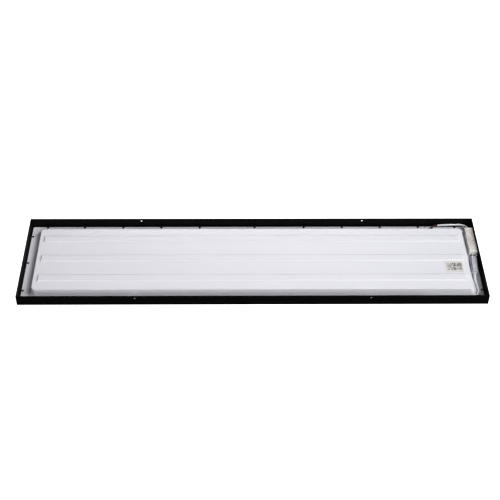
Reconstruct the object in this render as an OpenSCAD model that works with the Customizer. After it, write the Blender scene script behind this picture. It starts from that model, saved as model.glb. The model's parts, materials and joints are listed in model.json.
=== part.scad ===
// Backlit linear LED panel luminaire, seen face down.
// Frame: origin at the centre of the luminous (front) face, z = 0.
// +X runs along the length, +Y to the far long side, +Z to the rear. All sizes in millimetres.
// "d" means a distance inwards from the outer face of the frame.

/* [Frame] */
// Length of the panel
panel_l = 1195; // [1190:1:1200]
// Width of the panel
panel_w = 295; // [293:1:300]
// Depth of the frame
frame_h = 30; // [29:0.5:34]
// Thickness of the frame wall
wall_t = 2.2; // [1.8:0.1:2.4]
// Width of the front lip that holds the diffuser
lip_w = 11; // [10:0.5:14]
// Thickness of the front lip
lip_t = 1.2; // [1:0.1:1.2]
// Width of the ledge that carries the back tray
ledge_w = 12.5; // [12:0.1:12.6]
// Height of the ledge's underside above the front face
ledge_z = 3.8; // [3.7:0.1:3.9]
// Thickness of the ledge
ledge_t = 1.2; // [1:0.1:1.2]
// Length of each leg of a corner key
key_leg = 25; // [15:1:40]

/* [Side holes] */
// Diameter of the bracket holes in the long walls
side_hole_d = 5; // [4:0.1:6]
// Height of the bracket holes above the front face
side_hole_z = 22.5; // [20:0.5:25]

/* [Back tray] */
// Sheet thickness of the tray
tray_t = 0.6; // [0.5:0.1:0.7]
// Distance from the frame's outer face to the tray's edge
tray_edge_d = 6.4; // [6:0.1:7]
// Distance from the frame's outer face to the start of the cove
cove_d = 16; // [15.5:0.1:16.5]
// Radius of the concave cove
cove_r = 17; // [17:0.1:17.2]
// Corner radius of the raised plateau
plateau_corner_r = 11; // [8:0.5:14]

/* [Ribs] */
// Distance between the centres of neighbouring ribs
rib_pitch = 73.5; // [70:0.5:76]
// Height of a rib above the plateau
rib_h = 2.4; // [2:0.1:2.6]
// Width of a rib at its top
rib_top_w = 19; // [17:0.5:19]
// Width of one sloping side of a rib
rib_slope_w = 3; // [2:0.1:4]
// Length of a rib at its top
rib_top_l = 1103; // [1080:1:1106]

/* [Light source] */
// Length of one LED board
board_l = 1090; // [1000:1:1095]
// Width of one LED board
board_w = 14; // [10:0.5:16]
// Number of LEDs on one board
led_count = 12; // [6:1:14]
// Diameter of one diffusing lens
lens_d = 15; // [13:0.5:15]

/* [Driver] */
// Length of the driver case
driver_l = 94; // [90:1:96]
// Width of the driver case
driver_w = 21.5; // [20:0.5:22]
// Height of the driver case
driver_h = 16.5; // [15:0.5:18]
// Wall thickness of the driver case
driver_wall = 1.2; // [1:0.1:1.5]

/* [Cables] */
// Diameter of the white output lead
output_d = 5; // [4.5:0.1:5]
// Diameter of one insulated core
core_d = 1.7; // [1.4:0.1:1.7]
// Diameter of one driver input wire
input_d = 2.4; // [2:0.1:2.4]
// Diameter of the white mains lead
mains_d = 6; // [5.4:0.1:6]

/* [Hidden] */
$fn = 48;
eps = 0.5;
film_t = 0.15;

// Frame
half_l = panel_l / 2;
half_w = panel_w / 2;
ledge_top = ledge_z + ledge_t;
key_outer_d = wall_t + 0.2;
key_inner_d = 7.2;
key_gap = 0.1;
mitre_depth = ledge_w + 1;
side_hole_x = panel_l / 4;

// Diffuser
diffuser_d = 8;
diffuser_t = 2;

// Tray
flange_top = ledge_top + tray_t;
cove_crease = 0.1;
cove_z = flange_top - cove_crease + cove_r;
plateau_z = cove_z - cove_crease;
roof_z = plateau_z + rib_h - tray_t;
cove_half_l = half_l - cove_d;
cove_half_w = half_w - cove_d;
cove_ring_r = plateau_corner_r + cove_r;
corner_x = cove_half_l - cove_ring_r;
corner_y = cove_half_w - cove_ring_r;
rib_end_slope = 1.6;
rib_y = [-rib_pitch, 0, rib_pitch];

// Tray screws with crossed slots; the long sides also have spare holes between their screws
screw_d = 9.5;
screw_head_r = 3;
screw_head_h = 1.8;
screw_dome_r = 4.2;
screw_slot = [3, 0.7, 1];
screw_shank_r = 1.2;
screw_shank_lap = 0.2;
screw_hole_r = 1.25;
screw_tip_z = 3.4;
long_screw_x = [-552, -452, -348, -245, -141, 8, 141, 245, 348, 452, 552];
short_screw_y = [-102, 0, 102];
spare_hole_x = [-473, -11, 470];
spare_hole_r = 1.5;
tray_drill_h = 3;

// Cable entry through the far cove, and its rubber grommet
entry_x = 487;
entry_y = half_w - cove_d;
entry_r = 3.1;
grommet_gap = 0.05;
grommet_neck_h = 1.2;
grommet_ring_r = 4.2;
grommet_ring_h = 1.1;
grommet_lap = 0.1;
grommet_bore_r = 2.2;

// Light source, from the rib's roof down
tape_t = 0.2;
tape_margin = [10, 4];
board_t = 1;
board_z = roof_z - tape_t - board_t;
chip_size = [3.5, 2.8, 0.7];
lens_h = 5.5;
lens_sphere_r = 8.6;
lens_pocket_r = 2.8;
lens_pocket_h = 1.3;
board_plug = [10, 6.4, 3.5];
board_plug_x = 535;
link_wire_r = 0.8;
link_wire_z = plateau_z - 1.7;
link_wire_step = 1.6;

// Rating label on the plateau
label_size = [46, 42, film_t];
label_centre = [524, -33.7];

// Driver, standing in the channel beside the right wall
driver_x = 583.6;
driver_y = 69;
driver_z = flange_top + 2.4;
driver_top = driver_z + driver_h;
driver_tape_size = [8, 50, driver_z - flange_top];
driver_tape_centre = [586, 61];
cover_h = 3.5;
cover_z = driver_top - cover_h;
driver_label_margin = [3, 8];
driver_bush_l = 3;
bush_out_r = 4;
bush_out_at = [583, driver_y + driver_l / 2, 15];
bush_in_r = 5;
bush_in_at = [driver_x, driver_y - driver_l / 2, 16];

// Inside the driver; places are measured from the centre of the case
driver_post_r = 1.5;
driver_post_at = [6, 36];
driver_board_z = driver_z + 3;
driver_board_t = 1.2;
driver_board_margin = [3.5, 6];
part_z = driver_board_z + driver_board_t;
transformer_size = [13, 14, 8.6];
transformer_y = 6;
bobbin_size = [10, 5, 6.5];
capacitor_l = 16;
input_capacitor_r = 4;
input_capacitor_y = -40;
output_capacitor_r = 4.2;
output_capacitor_y = 24;
choke_at = [-3, -17];
choke_ring_r = 3.6;
choke_core_r = 2.2;
switch_size = [4.6, 10, 8];
switch_at = [5.5, -12];

// Joint box on the mains side, tilted so that it leans on the cove
box_size = [16.5, 58, 12];
box_wall = 1.2;
box_corner_r = 3;
box_lid_h = 4.5;
box_pos = [579, -21, 15.4];
box_yaw = -5.9;
box_tilt = 20;

// Terminal block in the joint box: two wires side by side, each held by two screws
block_size = [10.4, 20, 7.4];
block_wire_x = 2.6;
block_wire_z = -1;
clamp_r = 2.2;
clamp_well_r = 1.5;
clamp_screw_y = 5;
clamp_screw_r = 1;
clamp_screw_h = 2.8;
clamp_screw_z = 0.6;
sleeve_gap = 0.05;
sleeve_bore_r = 1.3;
sleeve_inset = 2;

// Routes of the free cables, from the point where each leaves its housing
OUTPUT_ROUTE = [
    [583, 119, 15], [583, 121, 15], [580.3, 131, 14.6], [573, 138.3, 13.3], [563, 141, 12.3],
    [550, 141, 12], [537, 141, 12], [524, 141, 11.4], [508, 140.6, 10.6], [505, 140.6, 10.6]
];
RED_ROUTE = [
    [505, 141.6, 10.8], [501, 141.6, 10.8], [497, 140.2, 11.1], [493, 137.8, 11.2],
    [490, 135, 10.4], [488, 133.2, 9], [487, 132.4, 7], [487, 132.4, 5]
];
BLACK_ROUTE = [
    [505, 139.6, 10.4], [501, 139.6, 10.4], [497, 137.6, 10], [493, 135, 9.8],
    [490, 132.7, 9.2], [488, 131.2, 8], [487, 130.6, 6.6], [487, 130.6, 5]
];
// Inside the tray, from the grommet under the cove and the plateau to the far board's connector
FEED_RED_ROUTE = [
    [487, 132.4, 5], [487, 132.4, 4.4], [489.9, 132.4, 4.1], [490.6, 129.4, 4.1], [490.6, 121.5, 5.4],
    [490.6, 114.5, 9.5], [490.6, 105.5, 18.7], [536.6, 92, 20.7], [536.6, 76.7, 20.7]
];
FEED_BLACK_ROUTE = [
    [487, 130.6, 5], [487, 130.6, 4.4], [486.6, 129.4, 4.1], [486.6, 121.5, 5.4],
    [486.6, 114.5, 9.5], [486.6, 105.5, 18.7], [533.4, 88, 20.7], [533.4, 76.7, 20.7]
];
LIVE_ROUTE = [
    [586.5, 19, 16.4], [586.5, 17.8, 16.4], [588.8, 16.4, 17.4], [591.2, 14.6, 18.2], [591, 12.4, 17.6],
    [588, 11.2, 15.8], [585.6, 10.4, 14.4], [584.3, 9, 13.6], [584.2, 7.7, 13.6]
];
NEUTRAL_ROUTE = [
    [581, 19, 16.4], [581, 17.8, 16.4], [580.2, 13.6, 16.2], [579.4, 9.4, 15.5], [579.3, 8.2, 15.5]
];
MAINS_ROUTE = [
    [576, -50, 15.4], [575.2, -58, 15.3], [574.9, -68, 13.6], [575.6, -80, 11.1], [577, -93, 9.6],
    [578, -107.5, 9.3], [574.8, -119.5, 9.1], [566, -128.3, 8.9], [554, -131.5, 8.8],
    [536, -131.5, 8.8], [518, -131.5, 8.8], [500, -131.5, 8.8], [482, -131.5, 8.8],
    [464, -131.5, 8.8], [446, -131.5, 8.8], [428, -131.5, 8.8]
];
BROWN_ROUTE = [
    [428, -130.1, 8.8], [423, -130.1, 8.8], [413, -129.5, 7.6], [405, -129.2, 7.2], [401, -129.2, 7.2]
];
BLUE_ROUTE = [
    [428, -132.9, 8.8], [423, -132.9, 8.8], [413, -133.5, 7.6], [405, -133.8, 7.2], [401, -133.8, 7.2]
];

// Directions that no point of the routes runs along, from which each tube's rings are squared up
FLAT_REF = [0, 0, 1];
CORE_REF = [0.6, -0.8, 0];
FEED_REF = [1, 0.8, 0.6];
ferrule_l = 8;
ferrule_r = 1.2;
tube_sides = 10;
thin_sides = 8;

// --- Swept tubes ---------------------------------------------------------------------------

function unit(v) = v / norm(v);

// Direction of a route at point i
function route_dir(route, i) =
    i == 0 ? unit(route[1] - route[0])
    : i == len(route) - 1 ? unit(route[i] - route[i - 1])
    : unit(unit(route[i] - route[i - 1]) + unit(route[i + 1] - route[i]));

// One ring of points round the route, squared up against the direction ref
function tube_ring(point, dir, r, sides, ref) =
    let (u = unit(cross(ref, dir)), v = cross(dir, u))
    [for (k = [0 : sides - 1]) point + r * (cos(360 * k / sides) * u + sin(360 * k / sides) * v)];

// A tube along a route; ref is a direction that the route never runs along
module tube(route, d, sides, ref) {
    rings = len(route);
    points = [for (i = [0 : rings - 1]) each tube_ring(route[i], route_dir(route, i), d / 2, sides, ref)];
    walls = [
        for (i = [0 : rings - 2], k = [0 : sides - 1])
        let (a = i * sides + k, b = i * sides + (k + 1) % sides)
        each [[a, a + sides, b + sides], [a, b + sides, b]]
    ];
    first_cap = [for (k = [0 : sides - 1]) k];
    last_cap = [for (k = [sides - 1 : -1 : 0]) (rings - 1) * sides + k];
    polyhedron(points = points, faces = concat([first_cap, last_cap], walls), convexity = 6);
}

// --- Shared shapes -------------------------------------------------------------------------

// Section of the frame's rail: wall, front lip and ledge, x inwards and y to the rear
module rail_section() {
    polygon([
        [0, 0], [lip_w, 0], [lip_w, lip_t], [wall_t, lip_t], [wall_t, ledge_z], [ledge_w, ledge_z],
        [ledge_w, ledge_top], [wall_t, ledge_top], [wall_t, frame_h], [0, frame_h]
    ]);
}

// One rail along X with its outer face at y = 0, mitred at both ends and drilled for the tray screws
module rail(length, screw_x) {
    end = length / 2;
    difference() {
        intersection() {
            rotate([90, 0, 90]) linear_extrude(length, center = true) rail_section();
            translate([0, 0, -1]) linear_extrude(frame_h + 2)
                polygon([
                    [-end, 0], [end, 0], [end - mitre_depth, mitre_depth], [-end + mitre_depth, mitre_depth]
                ]);
        }
        for (x = screw_x)
            translate([x, screw_d, ledge_z - eps]) cylinder(r = screw_hole_r, h = ledge_t + 2 * eps);
    }
}

// Holes for brackets through the wall of a long rail
module side_holes() {
    for (x = [-side_hole_x, side_hole_x])
        translate([x, -eps, side_hole_z]) rotate([-90, 0, 0]) cylinder(d = side_hole_d, h = wall_t + 2 * eps);
}

// Places a rail's children on the near, far, left or right side of the panel
module on_near() { translate([0, -half_w, 0]) children(); }
module on_far() { translate([0, half_w, 0]) mirror([0, 1, 0]) children(); }
module on_left() { translate([-half_l, 0, 0]) rotate(-90) children(); }
module on_right() { translate([half_l, 0, 0]) rotate(90) children(); }

// L-shaped key that joins two rails, for the corner at x = -half_l, y = -half_w
module corner_key() {
    near = key_outer_d;
    bend = key_inner_d;
    tip = key_outer_d + key_leg;
    color("silver")
        translate([-half_l, -half_w, lip_t + key_gap])
        linear_extrude(ledge_z - lip_t - 2 * key_gap)
        polygon([[near, near], [tip, near], [tip, bend], [bend, bend], [bend, tip], [near, tip]]);
}

// Half section of the raised pan: a block whose lower edge is scooped out by the cove
module pan_corner_section(r, bottom, top) {
    difference() {
        translate([0, bottom]) square([cove_ring_r, top - bottom]);
        translate([cove_ring_r, cove_z]) circle(r, $fn = 96);
    }
}
module pan_section(half, r, bottom, top) {
    difference() {
        translate([-half, bottom]) square([2 * half, top - bottom]);
        for (side = [-1, 1]) translate([side * half, cove_z]) circle(r, $fn = 96);
    }
}

// The raised pan of the tray, with coved sides and corners
module pan(r, bottom, top) {
    rotate([90, 0, 90]) linear_extrude(2 * corner_x, center = true) pan_section(cove_half_w, r, bottom, top);
    rotate([90, 0, 0]) linear_extrude(2 * corner_y, center = true) pan_section(cove_half_l, r, bottom, top);
    for (corner = [[1, 1, 0], [-1, 1, 90], [-1, -1, 180], [1, -1, 270]])
        translate([corner.x * corner_x, corner.y * corner_y, 0]) rotate(corner.z)
            rotate_extrude(angle = 90) pan_corner_section(r, bottom, top);
}

// Trapezium, top wide at the height high, whose sides spread by slope for each unit of drop
module taper(top, slope, low, high) {
    foot = top / 2 + slope * (high - low);
    polygon([[-foot, low], [foot, low], [top / 2, high], [-top / 2, high]]);
}

// One rib along X, from the height low to the height high, sloped on all four sides
module rib(low, high) {
    intersection() {
        rotate([90, 0, 90]) linear_extrude(rib_top_l + 20, center = true)
            taper(rib_top_w, rib_slope_w / rib_h, low, high);
        rotate([90, 0, 0]) linear_extrude(rib_top_w + 20, center = true)
            taper(rib_top_l, rib_end_slope / rib_h, low, high);
    }
}

// A plate with square corners, centred at x, y
module plate(centre, size, z) {
    translate([centre.x - size.x / 2, centre.y - size.y / 2, z]) cube(size);
}

// One black self-tapping screw through the flange, with a domed head and crossed slots
module tray_screw() {
    head_top = flange_top + screw_head_h;
    color("#151515") difference() {
        union() {
            translate([0, 0, screw_tip_z])
                cylinder(r = screw_shank_r, h = flange_top - screw_tip_z + screw_shank_lap);
            intersection() {
                translate([0, 0, flange_top]) cylinder(r = screw_head_r, h = screw_head_h);
                translate([0, 0, head_top - screw_dome_r]) sphere(screw_dome_r);
            }
        }
        for (turn = [0, 90])
            rotate(turn) plate([0, 0], screw_slot + [0, 0, eps], head_top - screw_slot.z);
    }
}

// A row of screws along X, for a rail whose outer face is at y = 0
module tray_screws(screw_x) {
    for (x = screw_x)
        translate([x, screw_d, 0]) tray_screw();
}

// --- Light source --------------------------------------------------------------------------

module led_board(y) {
    color("white") plate([0, y], [board_l, board_w, board_t], board_z);
}

// Places a child at each LED along a board
module at_leds(y) {
    pitch = board_l / led_count;
    for (i = [0 : led_count - 1])
        translate([(i - (led_count - 1) / 2) * pitch, y, board_z]) children();
}

module led_chips(y) {
    color("khaki") at_leds(y) plate([0, 0], chip_size, -chip_size.z);
}

// Dome lenses over the LEDs, each with a pocket for its chip
module lenses(y) {
    color("ivory", 0.6) at_leds(y) difference() {
        intersection() {
            translate([0, 0, -lens_h]) cylinder(d = lens_d, h = lens_h);
            translate([0, 0, lens_sphere_r - lens_h]) sphere(lens_sphere_r, $fn = 96);
        }
        translate([0, 0, -lens_pocket_h]) cylinder(r = lens_pocket_r, h = lens_pocket_h + eps);
    }
}

module board_tapes() {
    size = [board_l - tape_margin.x, board_w - tape_margin.y, tape_t];
    color("gainsboro") for (y = rib_y)
        plate([0, y], size, roof_z - tape_t);
}

module board_connectors() {
    color("ivory") for (y = rib_y)
        plate([board_plug_x, y], board_plug, board_z - board_plug.z);
}

// Straight links from one board's connector to the next
module link_wires(x) {
    for (y = [-rib_pitch, 0])
        translate([x, y + board_plug.y / 2, link_wire_z]) rotate([-90, 0, 0])
            cylinder(r = link_wire_r, h = rib_pitch - board_plug.y);
}

// --- Driver --------------------------------------------------------------------------------

// A block that is centred on the driver, or placed from its centre by at
module driver_block(size, z, at = [0, 0]) {
    plate([driver_x + at.x, driver_y + at.y], size, z);
}

module driver_tape() { color("white") plate(driver_tape_centre, driver_tape_size, flange_top); }

// Open-topped lower case with posts for the circuit board
module driver_base() {
    floor_z = driver_z + driver_wall;
    color("whitesmoke") {
        difference() {
            driver_block([driver_w, driver_l, driver_h - cover_h], driver_z);
            driver_block([driver_w - 2 * driver_wall, driver_l - 2 * driver_wall, driver_h], floor_z);
        }
        for (x = [-1, 1], y = [-1, 1])
            translate([driver_x + x * driver_post_at.x, driver_y + y * driver_post_at.y, floor_z])
            cylinder(r = driver_post_r, h = driver_board_z - floor_z);
    }
}

// Lid with a hollow underside
module driver_cover() {
    hollow = [driver_w - 2 * driver_wall, driver_l - 2 * driver_wall, cover_h - driver_wall + eps];
    color("whitesmoke") difference() {
        driver_block([driver_w, driver_l, cover_h], cover_z);
        driver_block(hollow, cover_z - eps);
    }
}

module driver_label() {
    size = [driver_w - driver_label_margin.x, driver_l - driver_label_margin.y, film_t];
    color("linen") driver_block(size, driver_top);
}

module driver_board() {
    size = [driver_w - driver_board_margin.x, driver_l - driver_board_margin.y, driver_board_t];
    color("darkgreen") driver_block(size, driver_board_z);
}

// Ferrite core, with its bobbin standing out at both sides
module driver_transformer() {
    bobbin_step = (transformer_size.y + bobbin_size.y) / 2;
    color("dimgray") driver_block(transformer_size, part_z, [0, transformer_y]);
    color("gold") for (side = [-1, 1])
        driver_block(bobbin_size, part_z, [0, transformer_y + side * bobbin_step]);
}

// Round capacitor that lies along the board
module lying_capacitor(r, y) {
    translate([driver_x, driver_y + y, part_z + r]) rotate([-90, 0, 0]) cylinder(r = r, h = capacitor_l);
}

module driver_capacitors() {
    color("midnightblue") lying_capacitor(input_capacitor_r, input_capacitor_y);
    color("black") lying_capacitor(output_capacitor_r, output_capacitor_y);
}

// Ring core of the input filter
module driver_choke() {
    color("saddlebrown") translate([driver_x + choke_at.x, driver_y + choke_at.y, part_z + choke_core_r])
        rotate_extrude() translate([choke_ring_r, 0]) circle(choke_core_r);
}

module driver_switch() { color("black") driver_block(switch_size, part_z, switch_at); }

// Bushes where the wires leave the ends of the driver
module driver_bush_out() {
    color("white") translate(bush_out_at) rotate([-90, 0, 0]) cylinder(r = bush_out_r, h = driver_bush_l);
}

module driver_bush_in() {
    color("white") translate(bush_in_at) rotate([90, 0, 0]) cylinder(r = bush_in_r, h = driver_bush_l);
}

// --- Joint box -----------------------------------------------------------------------------

module in_joint_box() { translate(box_pos) rotate(box_yaw) rotate([0, box_tilt, 0]) children(); }

// Rounded section of the box, shrunk by inset
module box_section(inset) {
    w = box_size.x / 2 - inset;
    h = box_size.z / 2 - inset;
    r = box_corner_r - inset;
    square([2 * (w - r), 2 * h], center = true);
    square([2 * w, 2 * (h - r)], center = true);
    for (x = [-1, 1], z = [-1, 1])
        translate([x * (w - r), z * (h - r)]) circle(r);
}

// Hollow box along Y, closed at both ends
module box_shell() {
    difference() {
        rotate([90, 0, 0]) linear_extrude(box_size.y, center = true) box_section(0);
        rotate([90, 0, 0]) linear_extrude(box_size.y - 2 * box_wall, center = true) box_section(box_wall);
    }
}

// The part of the children above or below the lid's joint line
module box_half(above) {
    split_z = box_size.z / 2 - box_lid_h;
    intersection() {
        children();
        plate([0, 0], 2 * box_size, above ? split_z : split_z - 2 * box_size.z);
    }
}

module joint_box_body() { color("lightsteelblue", 0.6) in_joint_box() box_half(false) box_shell(); }
module joint_box_lid() { color("lightsteelblue", 0.6) in_joint_box() box_half(true) box_shell(); }

// Places children at both wires of the terminal block
module at_block_wires() {
    for (side = [-1, 1])
        translate([side * block_wire_x, 0, block_wire_z]) children();
}

// Wells for the clamping screws, above one wire
module clamp_wells(r) {
    for (y = [-clamp_screw_y, clamp_screw_y])
        translate([0, y, 0]) cylinder(r = r, h = block_size.z);
}

module along_wire(r, length) {
    rotate([90, 0, 0]) cylinder(r = r, h = length, center = true);
}

module terminal_block() {
    color("ivory") in_joint_box() difference() {
        plate([0, 0], block_size, box_wall - box_size.z / 2);
        at_block_wires() along_wire(clamp_r, block_size.y + 2 * eps);
        at_block_wires() clamp_wells(clamp_well_r);
    }
}

// Brass sleeves that clamp the wires inside the block
module terminal_sleeves() {
    color("goldenrod") in_joint_box() at_block_wires() difference() {
        along_wire(clamp_r - sleeve_gap, block_size.y - 2 * sleeve_inset);
        along_wire(sleeve_bore_r, block_size.y);
        clamp_wells(clamp_screw_r + sleeve_gap);
    }
}

module terminal_screws() {
    color("silver") in_joint_box() at_block_wires() for (y = [-clamp_screw_y, clamp_screw_y])
        translate([0, y, clamp_screw_z]) cylinder(r = clamp_screw_r, h = clamp_screw_h);
}

// --- Assembly ------------------------------------------------------------------------------

// A long rail with its bracket holes
module side_rail() {
    color("#101010") difference() {
        rail(panel_l, long_screw_x);
        side_holes();
    }
}

module frame_side_near() { on_near() side_rail(); }
module frame_side_far() { on_far() side_rail(); }
module frame_end_left() { color("#101010") on_left() rail(panel_w, short_screw_y); }
module frame_end_right() { color("#101010") on_right() rail(panel_w, short_screw_y); }

module corner_key_near_left() { corner_key(); }
module corner_key_near_right() { mirror([1, 0, 0]) corner_key(); }
module corner_key_far_left() { mirror([0, 1, 0]) corner_key(); }
module corner_key_far_right() { rotate(180) corner_key(); }

module diffuser() {
    size = [panel_l - 2 * diffuser_d, panel_w - 2 * diffuser_d, diffuser_t];
    color("white", 0.8) plate([0, 0], size, lip_t);
}

// Cutter for a round hole through the tray's flange
module flange_hole(x, y, r) {
    translate([x, y, ledge_top - eps]) cylinder(r = r, h = tray_drill_h);
}

// Pressed sheet: flange, coved pan and three ribs, with the inside pressed out to leave an even sheet
module back_tray() {
    sheet = [panel_l - 2 * tray_edge_d, panel_w - 2 * tray_edge_d, tray_t];
    color("white") difference() {
        union() {
            plate([0, 0], sheet, ledge_top);
            pan(cove_r, ledge_top + tray_t / 2, plateau_z);
            for (y = rib_y)
                translate([0, y, 0]) rib(plateau_z - tray_t / 2, plateau_z + rib_h);
        }
        pan(cove_r + tray_t, ledge_top - 1, plateau_z - tray_t);
        for (y = rib_y)
            translate([0, y, 0]) rib(plateau_z - 2 * tray_t, roof_z);
        for (x = long_screw_x, side = [-1, 1])
            flange_hole(x, side * (half_w - screw_d), screw_hole_r);
        for (y = short_screw_y, side = [-1, 1])
            flange_hole(side * (half_l - screw_d), y, screw_hole_r);
        for (x = spare_hole_x, side = [-1, 1])
            flange_hole(x, side * (half_w - screw_d), spare_hole_r);
        flange_hole(entry_x, entry_y, entry_r);
    }
}

// Rubber ring that lines the cable entry
module tray_grommet() {
    neck_top = ledge_top + grommet_neck_h;
    color("#202020") translate([entry_x, entry_y, 0]) difference() {
        union() {
            translate([0, 0, ledge_top]) cylinder(r = entry_r - grommet_gap, h = grommet_neck_h);
            translate([0, 0, neck_top - grommet_lap]) cylinder(r = grommet_ring_r, h = grommet_ring_h);
        }
        translate([0, 0, ledge_top - eps]) cylinder(r = grommet_bore_r, h = tray_drill_h + eps);
    }
}

module tray_screws_near() { on_near() tray_screws(long_screw_x); }
module tray_screws_far() { on_far() tray_screws(long_screw_x); }
module tray_screws_left() { on_left() tray_screws(short_screw_y); }
module tray_screws_right() { on_right() tray_screws(short_screw_y); }

module led_board_near() { led_board(-rib_pitch); }
module led_board_mid() { led_board(0); }
module led_board_far() { led_board(rib_pitch); }
module led_chips_near() { led_chips(-rib_pitch); }
module led_chips_mid() { led_chips(0); }
module led_chips_far() { led_chips(rib_pitch); }
module lenses_near() { lenses(-rib_pitch); }
module lenses_mid() { lenses(0); }
module lenses_far() { lenses(rib_pitch); }

module link_wires_red() { color("red") link_wires(board_plug_x + link_wire_step); }
module link_wires_black() { color("black") link_wires(board_plug_x - link_wire_step); }
module feed_wire_red() { color("red") tube(FEED_RED_ROUTE, 2 * link_wire_r, thin_sides, FEED_REF); }
module feed_wire_black() { color("black") tube(FEED_BLACK_ROUTE, 2 * link_wire_r, thin_sides, FEED_REF); }

module rating_label() { color("silver") plate(label_centre, label_size, plateau_z); }

module output_lead() { color("white") tube(OUTPUT_ROUTE, output_d, tube_sides, FLAT_REF); }
module output_core_red() { color("red") tube(RED_ROUTE, core_d, thin_sides, CORE_REF); }
module output_core_black() { color("black") tube(BLACK_ROUTE, core_d, thin_sides, CORE_REF); }
module input_wire_live() { color("white") tube(LIVE_ROUTE, input_d, thin_sides, FLAT_REF); }
module input_wire_neutral() { color("white") tube(NEUTRAL_ROUTE, input_d, thin_sides, FLAT_REF); }
module mains_lead() { color("white") tube(MAINS_ROUTE, mains_d, tube_sides, FLAT_REF); }
module mains_core_brown() { color("saddlebrown") tube(BROWN_ROUTE, input_d, thin_sides, FLAT_REF); }
module mains_core_blue() { color("royalblue") tube(BLUE_ROUTE, input_d, thin_sides, FLAT_REF); }

// Crimped metal tips on the bare ends of the mains cores
module mains_ferrules() {
    color("silver") for (route = [BROWN_ROUTE, BLUE_ROUTE])
        translate(route[len(route) - 1]) rotate([0, -90, 0]) cylinder(r = ferrule_r, h = ferrule_l);
}

frame_side_near();
frame_side_far();
frame_end_left();
frame_end_right();
corner_key_near_left();
corner_key_near_right();
corner_key_far_left();
corner_key_far_right();
diffuser();
back_tray();
tray_grommet();
tray_screws_near();
tray_screws_far();
tray_screws_left();
tray_screws_right();
board_tapes();
led_board_near();
led_board_mid();
led_board_far();
led_chips_near();
led_chips_mid();
led_chips_far();
lenses_near();
lenses_mid();
lenses_far();
board_connectors();
link_wires_red();
link_wires_black();
feed_wire_red();
feed_wire_black();
rating_label();
driver_tape();
driver_base();
driver_cover();
driver_label();
driver_board();
driver_transformer();
driver_capacitors();
driver_choke();
driver_switch();
driver_bush_out();
driver_bush_in();
output_lead();
output_core_red();
output_core_black();
input_wire_live();
input_wire_neutral();
joint_box_body();
joint_box_lid();
terminal_block();
terminal_sleeves();
terminal_screws();
mains_lead();
mains_core_brown();
mains_core_blue();
mains_ferrules();
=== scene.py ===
"""Looks of a backlit linear LED panel, lying face down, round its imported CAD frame. In metres."""
import json
import math

import bmesh
import bpy
from mathutils import Matrix, Vector


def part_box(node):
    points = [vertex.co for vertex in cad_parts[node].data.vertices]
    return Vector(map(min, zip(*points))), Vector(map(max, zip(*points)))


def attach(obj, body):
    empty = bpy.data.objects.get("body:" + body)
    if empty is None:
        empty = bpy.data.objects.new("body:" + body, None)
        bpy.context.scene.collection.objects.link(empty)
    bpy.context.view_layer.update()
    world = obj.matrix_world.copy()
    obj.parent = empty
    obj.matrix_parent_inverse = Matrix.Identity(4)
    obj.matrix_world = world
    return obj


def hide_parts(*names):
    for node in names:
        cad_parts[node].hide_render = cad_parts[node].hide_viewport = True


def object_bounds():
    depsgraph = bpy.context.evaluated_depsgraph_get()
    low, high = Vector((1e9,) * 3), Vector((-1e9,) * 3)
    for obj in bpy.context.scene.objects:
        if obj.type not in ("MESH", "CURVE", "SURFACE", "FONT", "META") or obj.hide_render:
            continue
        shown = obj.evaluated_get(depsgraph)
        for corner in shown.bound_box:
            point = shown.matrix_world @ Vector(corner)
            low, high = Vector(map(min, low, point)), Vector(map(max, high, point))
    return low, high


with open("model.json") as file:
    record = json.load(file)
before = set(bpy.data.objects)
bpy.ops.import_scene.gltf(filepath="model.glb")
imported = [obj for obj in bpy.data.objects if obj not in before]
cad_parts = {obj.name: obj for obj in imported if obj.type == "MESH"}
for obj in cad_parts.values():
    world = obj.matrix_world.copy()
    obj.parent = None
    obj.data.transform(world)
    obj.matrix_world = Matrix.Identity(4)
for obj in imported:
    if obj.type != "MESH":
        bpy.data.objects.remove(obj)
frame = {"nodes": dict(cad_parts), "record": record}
CAD_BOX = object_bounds()
NODES = frame["nodes"]
BODY = "root"
MM = 0.001

# The panel: half its length and width, and its depth
HALF_L = CAD_BOX[1].x
HALF_W = CAD_BOX[1].y
FRAME_H = CAD_BOX[1].z

# ------------------------------------------------------------------------------- camera

# Focal length and sensor width in millimetres, as Blender's cameras take them
FOCAL_LENGTH = 81.02
SENSOR_W = 36
CAMERA_YAW = math.radians(1.073)
CAMERA_PITCH = math.radians(43.068)
CAMERA_ROLL = math.radians(-0.631)
CAMERA_TARGET = Vector((-0.0058, 0.0548, 0))
CAMERA_DISTANCE = 3.0
NEAREST_SEEN = 0.05
FURTHEST_SEEN = 50


def make_camera():
    """A camera that looks down at the target, turned a little to the right and rolled a little."""
    forward = Vector((
        math.sin(CAMERA_YAW) * math.cos(CAMERA_PITCH),
        math.cos(CAMERA_YAW) * math.cos(CAMERA_PITCH),
        -math.sin(CAMERA_PITCH),
    ))
    level = Vector((math.cos(CAMERA_YAW), -math.sin(CAMERA_YAW), 0))
    down = forward.cross(level)
    right = math.cos(CAMERA_ROLL) * level + math.sin(CAMERA_ROLL) * down
    up = math.sin(CAMERA_ROLL) * level - math.cos(CAMERA_ROLL) * down
    data = bpy.data.cameras.new("camera")
    data.lens = FOCAL_LENGTH
    data.sensor_width = SENSOR_W
    data.clip_start = NEAREST_SEEN
    data.clip_end = FURTHEST_SEEN
    camera = bpy.data.objects.new("camera", data)
    place = Matrix((right, up, -forward)).transposed().to_4x4()
    place.translation = CAMERA_TARGET - CAMERA_DISTANCE * forward
    camera.matrix_world = place
    bpy.context.scene.collection.objects.link(camera)
    bpy.context.scene.camera = camera


make_camera()

# ---------------------------------------------------------------------------- materials


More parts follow.
